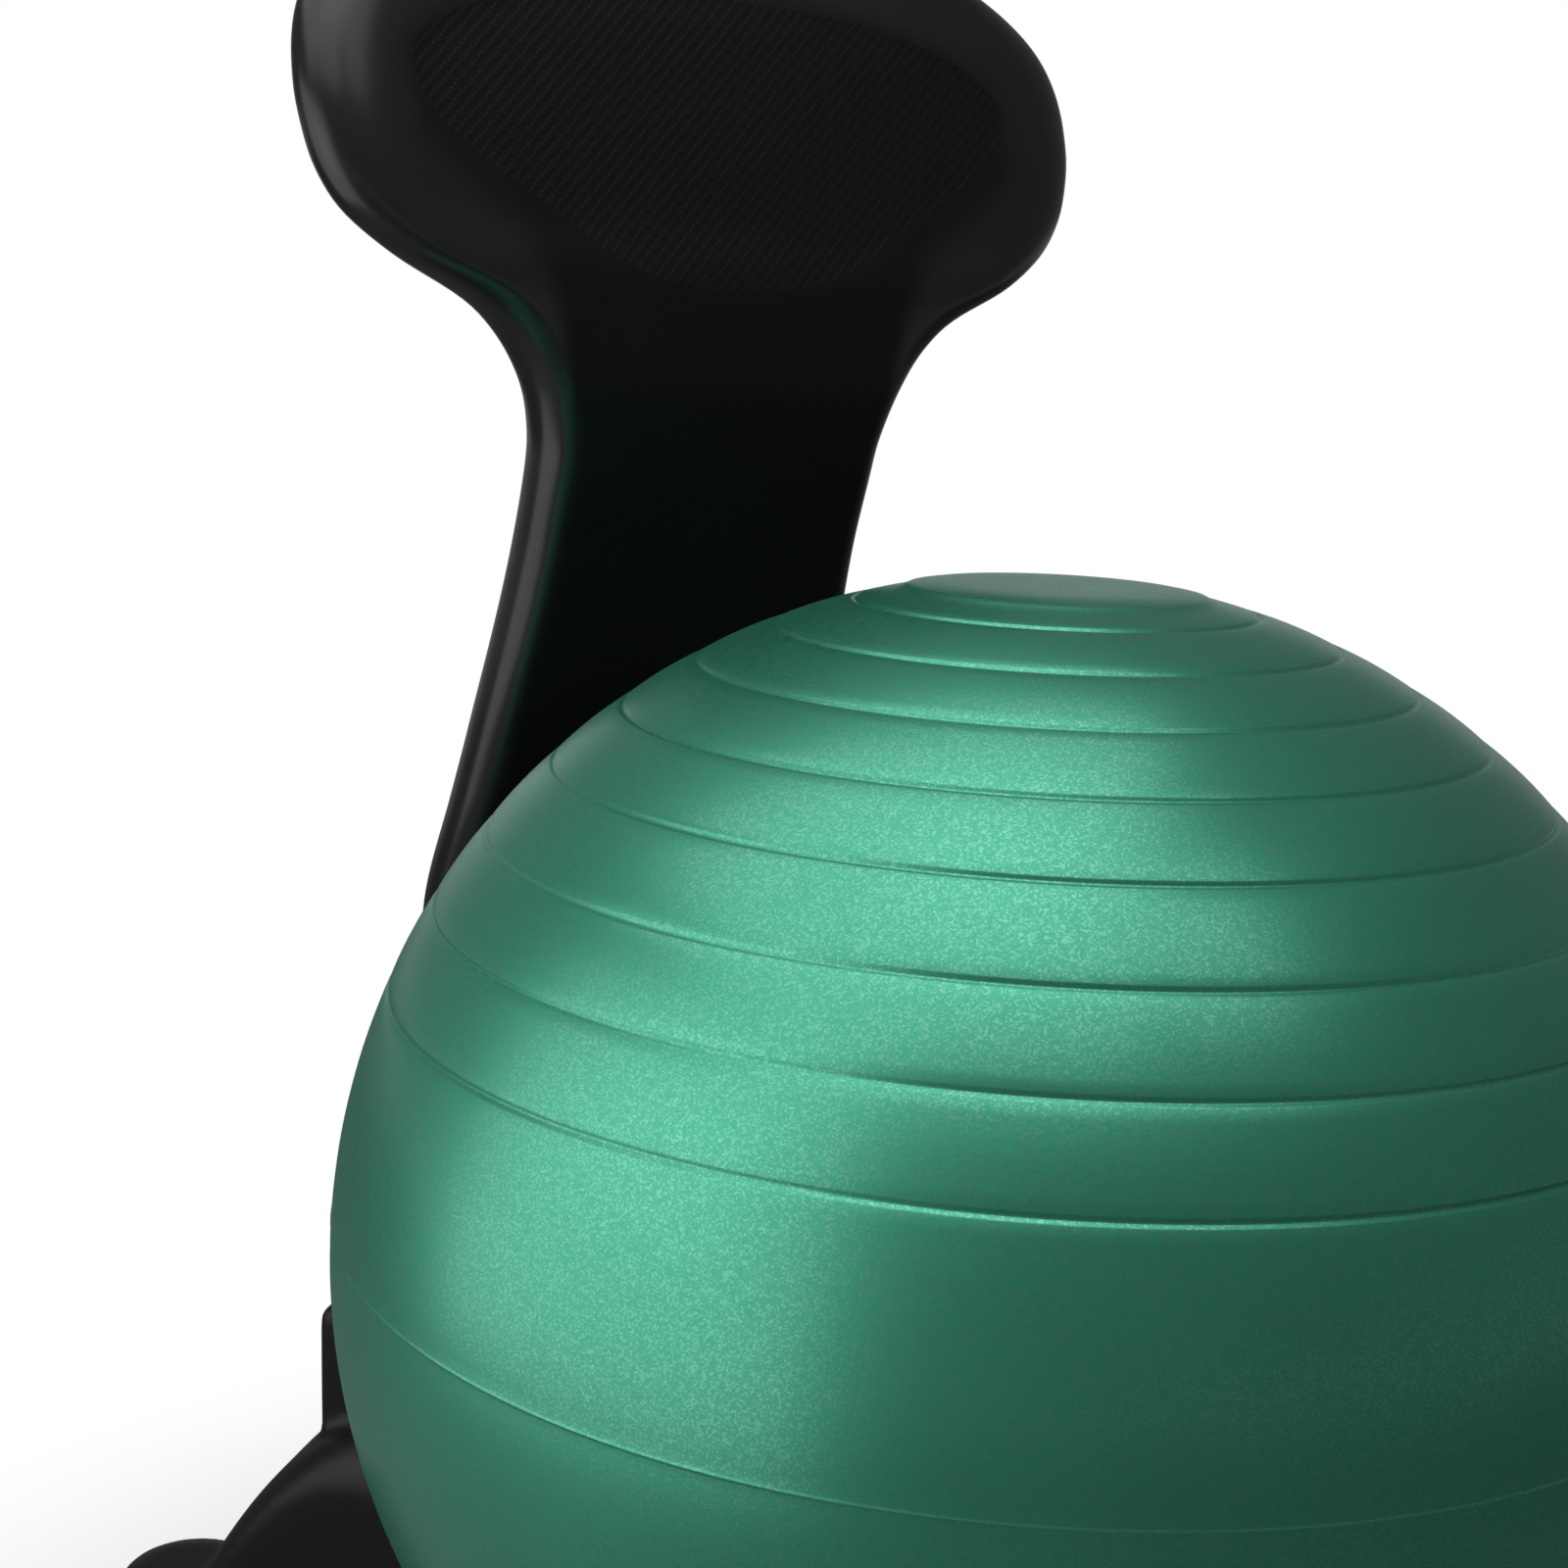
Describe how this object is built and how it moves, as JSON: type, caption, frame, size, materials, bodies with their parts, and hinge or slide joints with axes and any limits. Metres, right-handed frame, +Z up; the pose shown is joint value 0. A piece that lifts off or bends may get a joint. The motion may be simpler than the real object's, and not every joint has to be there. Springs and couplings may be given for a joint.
{
  "type": "balance ball chair",
  "caption": "Office seat made of an inflated ribbed ball held in a rolling moulded base, with a contoured backrest rising behind the ball.",
  "frame": {"origin": "on the floor under the middle of the chair's width and length", "axes": "+Z up, -Y the way the sitter faces, +X to the right as seen from in front of the chair"},
  "size_m": [0.5508, 0.6282, 0.8249],
  "materials": {
    "pearl_vinyl": "satin pearl green vinyl with a fine sparkle",
    "white_plastic": "plain soft plastic",
    "black_plastic": "satin black moulded plastic, finely textured on the backrest's face",
    "black_nylon": "satin black nylon",
    "wheel_nylon": "matt charcoal nylon tread",
    "zinc_steel": "bright zinc plated",
    "black_steel": "black oxide"
  },
  "bodies": {
    "base": {"base_frame": "black_plastic", "backrest": "black_plastic", "back_bolt_left": "black_steel", "back_washer_left": "black_steel", "back_nut_left": "zinc_steel", "back_bolt_right": "black_steel", "back_washer_right": "black_steel", "back_nut_right": "zinc_steel", "stem_sleeve_front_left": "zinc_steel", "caster_stem_front_left": "zinc_steel", "stem_sleeve_front_right": "zinc_steel", "caster_stem_front_right": "zinc_steel", "stem_sleeve_rear_left": "zinc_steel", "caster_stem_rear_left": "zinc_steel", "stem_sleeve_rear_right": "zinc_steel", "caster_stem_rear_right": "zinc_steel"},
    "ball": {"ball": "pearl_vinyl"},
    "air_plug": {"air_plug": "white_plastic"},
    "caster_front_left": {"caster_housing_front_left": "black_nylon", "caster_axle_front_left": "zinc_steel", "brake_pin_front_left": "zinc_steel"},
    "wheel_outer_front_left": {"wheel_outer_front_left": "wheel_nylon"},
    "wheel_inner_front_left": {"wheel_inner_front_left": "wheel_nylon"},
    "brake_front_left": {"brake_lever_front_left": "black_nylon"},
    "caster_front_right": {"caster_housing_front_right": "black_nylon", "caster_axle_front_right": "zinc_steel", "brake_pin_front_right": "zinc_steel"},
    "wheel_outer_front_right": {"wheel_outer_front_right": "wheel_nylon"},
    "wheel_inner_front_right": {"wheel_inner_front_right": "wheel_nylon"},
    "brake_front_right": {"brake_lever_front_right": "black_nylon"},
    "caster_rear_left": {"caster_housing_rear_left": "black_nylon", "caster_axle_rear_left": "zinc_steel"},
    "wheel_outer_rear_left": {"wheel_outer_rear_left": "wheel_nylon"},
    "wheel_inner_rear_left": {"wheel_inner_rear_left": "wheel_nylon"},
    "caster_rear_right": {"caster_housing_rear_right": "black_nylon", "caster_axle_rear_right": "zinc_steel"},
    "wheel_outer_rear_right": {"wheel_outer_rear_right": "wheel_nylon"},
    "wheel_inner_rear_right": {"wheel_inner_rear_right": "wheel_nylon"}
  },
  "joints": [
    {"name": "ball_lift_out", "type": "slide", "parent": "base", "child": "ball", "axis": [0, -0.342, 0.9397], "range_m": [0, 0.26]},
    {"name": "air_plug_pull", "type": "slide", "parent": "ball", "child": "air_plug", "axis": [0, 0, -1], "range_m": [0, 0.018]},
    {"name": "caster_swivel_front_left", "type": "hinge", "parent": "base", "child": "caster_front_left", "pos_m": [-0.235, -0.2821, 0.06], "axis": [0, 0, 1], "continuous": true},
    {"name": "wheel_spin_outer_front_left", "type": "hinge", "parent": "caster_front_left", "child": "wheel_outer_front_left", "pos_m": [-0.2435, -0.26738, 0.025], "axis": [0.866, 0.5, 0], "continuous": true},
    {"name": "wheel_spin_inner_front_left", "type": "hinge", "parent": "caster_front_left", "child": "wheel_inner_front_left", "pos_m": [-0.2435, -0.26738, 0.025], "axis": [0.866, 0.5, 0], "continuous": true},
    {"name": "brake_press_front_left", "type": "hinge", "parent": "caster_front_left", "child": "brake_front_left", "pos_m": [-0.25446, -0.2484, 0.05112], "axis": [-0.866, -0.5, 0], "range_deg": [0, 12]},
    {"name": "caster_swivel_front_right", "type": "hinge", "parent": "base", "child": "caster_front_right", "pos_m": [0.235, -0.2821, 0.06], "axis": [0, 0, 1], "continuous": true},
    {"name": "wheel_spin_outer_front_right", "type": "hinge", "parent": "caster_front_right", "child": "wheel_outer_front_right", "pos_m": [0.2435, -0.26738, 0.025], "axis": [0.866, -0.5, 0], "continuous": true},
    {"name": "wheel_spin_inner_front_right", "type": "hinge", "parent": "caster_front_right", "child": "wheel_inner_front_right", "pos_m": [0.2435, -0.26738, 0.025], "axis": [0.866, -0.5, 0], "continuous": true},
    {"name": "brake_press_front_right", "type": "hinge", "parent": "caster_front_right", "child": "brake_front_right", "pos_m": [0.25446, -0.2484, 0.05112], "axis": [-0.866, 0.5, 0], "range_deg": [0, 12]},
    {"name": "caster_swivel_rear_left", "type": "hinge", "parent": "base", "child": "caster_rear_left", "pos_m": [-0.235, 0.2109, 0.06], "axis": [0, 0, 1], "continuous": true},
    {"name": "wheel_spin_outer_rear_left", "type": "hinge", "parent": "caster_rear_left", "child": "wheel_outer_rear_left", "pos_m": [-0.2435, 0.22562, 0.025], "axis": [0.866, 0.5, 0], "continuous": true},
    {"name": "wheel_spin_inner_rear_left", "type": "hinge", "parent": "caster_rear_left", "child": "wheel_inner_rear_left", "pos_m": [-0.2435, 0.22562, 0.025], "axis": [0.866, 0.5, 0], "continuous": true},
    {"name": "caster_swivel_rear_right", "type": "hinge", "parent": "base", "child": "caster_rear_right", "pos_m": [0.235, 0.2109, 0.06], "axis": [0, 0, 1], "continuous": true},
    {"name": "wheel_spin_outer_rear_right", "type": "hinge", "parent": "caster_rear_right", "child": "wheel_outer_rear_right", "pos_m": [0.2435, 0.22562, 0.025], "axis": [0.866, -0.5, 0], "continuous": true},
    {"name": "wheel_spin_inner_rear_right", "type": "hinge", "parent": "caster_rear_right", "child": "wheel_inner_rear_right", "pos_m": [0.2435, 0.22562, 0.025], "axis": [0.866, -0.5, 0], "continuous": true}
  ]
}
